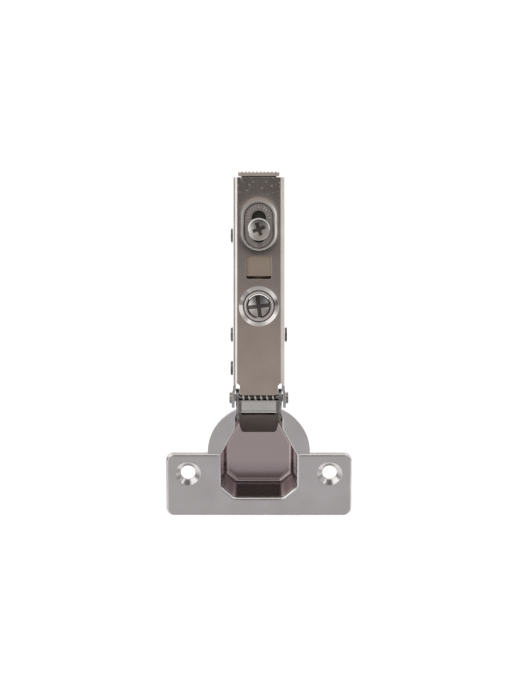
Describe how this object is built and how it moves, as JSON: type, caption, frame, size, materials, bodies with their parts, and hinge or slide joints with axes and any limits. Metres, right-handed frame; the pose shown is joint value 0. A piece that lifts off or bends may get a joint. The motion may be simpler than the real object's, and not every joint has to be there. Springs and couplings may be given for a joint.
{
  "type": "concealed cup hinge",
  "caption": "Concealed cabinet door hinge: clip-on arm with depth and side adjustment, folding links, and a pressed cup with two screw wings, shown fully open.",
  "frame": {"origin": "middle of the seat on which the carrier's lower edges rest on a mounting plate", "axes": "+Y along the arm to its clip lever, +Z out of the arm's web, +X across the arm"},
  "size_m": [0.0632, 0.1161, 0.0318],
  "materials": {
    "arm_steel": "satin nickel plate",
    "cup_steel": "satin nickel plate",
    "link_steel": "satin nickel plate",
    "carrier_steel": "satin plate, a little warmer",
    "lever_steel": "satin plate",
    "rivet_steel": "bright plate",
    "screw_steel": "bright plate",
    "spring_steel": "plated spring wire"
  },
  "bodies": {
    "carrier": {"carrier": "carrier_steel", "clip_lever_pin": "rivet_steel", "lever_spring": "spring_steel"},
    "depth_screw": {"depth_screw": "screw_steel"},
    "clip_lever": {"clip_lever": "lever_steel"},
    "rear_pivot": {"rear_rivet": "rivet_steel"},
    "side_screw": {"side_screw": "screw_steel"},
    "arm": {"hinge_arm": "arm_steel", "guide_rivet": "rivet_steel", "outer_link_rivet": "rivet_steel", "inner_link_rivet": "rivet_steel", "closing_spring": "spring_steel"},
    "outer_link": {"outer_link": "link_steel"},
    "inner_link": {"inner_link": "link_steel"},
    "cup": {"hinge_cup": "cup_steel", "outer_cup_pin": "rivet_steel", "inner_cup_pin": "rivet_steel"}
  },
  "joints": [
    {"name": "depth_slide", "type": "slide", "parent": "carrier", "child": "rear_pivot", "axis": [0, 1, 0], "range_m": [-0.002, 0.002]},
    {"name": "depth_turn", "type": "hinge", "parent": "carrier", "child": "depth_screw", "pos_m": [0, 0.0111, 0.009], "axis": [0, 0, 1], "range_deg": [-180, 180]},
    {"name": "side_tilt", "type": "hinge", "parent": "rear_pivot", "child": "arm", "pos_m": [0, 0.0093, 0.0041], "axis": [1, 0, 0], "range_deg": [-1.6, 1.6]},
    {"name": "side_turn", "type": "hinge", "parent": "rear_pivot", "child": "side_screw", "pos_m": [0, -0.0145, 0.009], "axis": [0, 0, 1], "range_deg": [-299, 299]},
    {"name": "clip_release", "type": "hinge", "parent": "carrier", "child": "clip_lever", "pos_m": [0, 0.0215, 0.0036], "axis": [1, 0, 0], "range_deg": [0, 15], "stiffness_Nm_per_rad": 0.05, "springref_deg": -22.92},
    {"name": "cup_fold", "type": "hinge", "parent": "outer_link", "child": "cup", "pos_m": [0, -0.05227, -0.00638], "axis": [-1, 0, 0], "range_deg": [0, 127.3]},
    {"name": "outer_fold", "type": "hinge", "parent": "arm", "child": "outer_link", "pos_m": [0, -0.045, 0.0081], "axis": [1, 0, 0], "range_deg": [0, 17.3]},
    {"name": "inner_fold", "type": "hinge", "parent": "cup", "child": "inner_link", "pos_m": [0, -0.05133, -0.00259], "axis": [1, 0, 0], "range_deg": [0, 144.4]}
  ],
  "couplings": [
    {"joint": "depth_turn", "follows": "depth_slide", "rad_per_m": 1570.7},
    {"joint": "side_turn", "follows": "side_tilt", "ratio": 186.8},
    {"joint": "outer_fold", "follows": "cup_fold", "ratio": 0.13589},
    {"joint": "inner_fold", "follows": "cup_fold", "ratio": 1.1343}
  ]
}
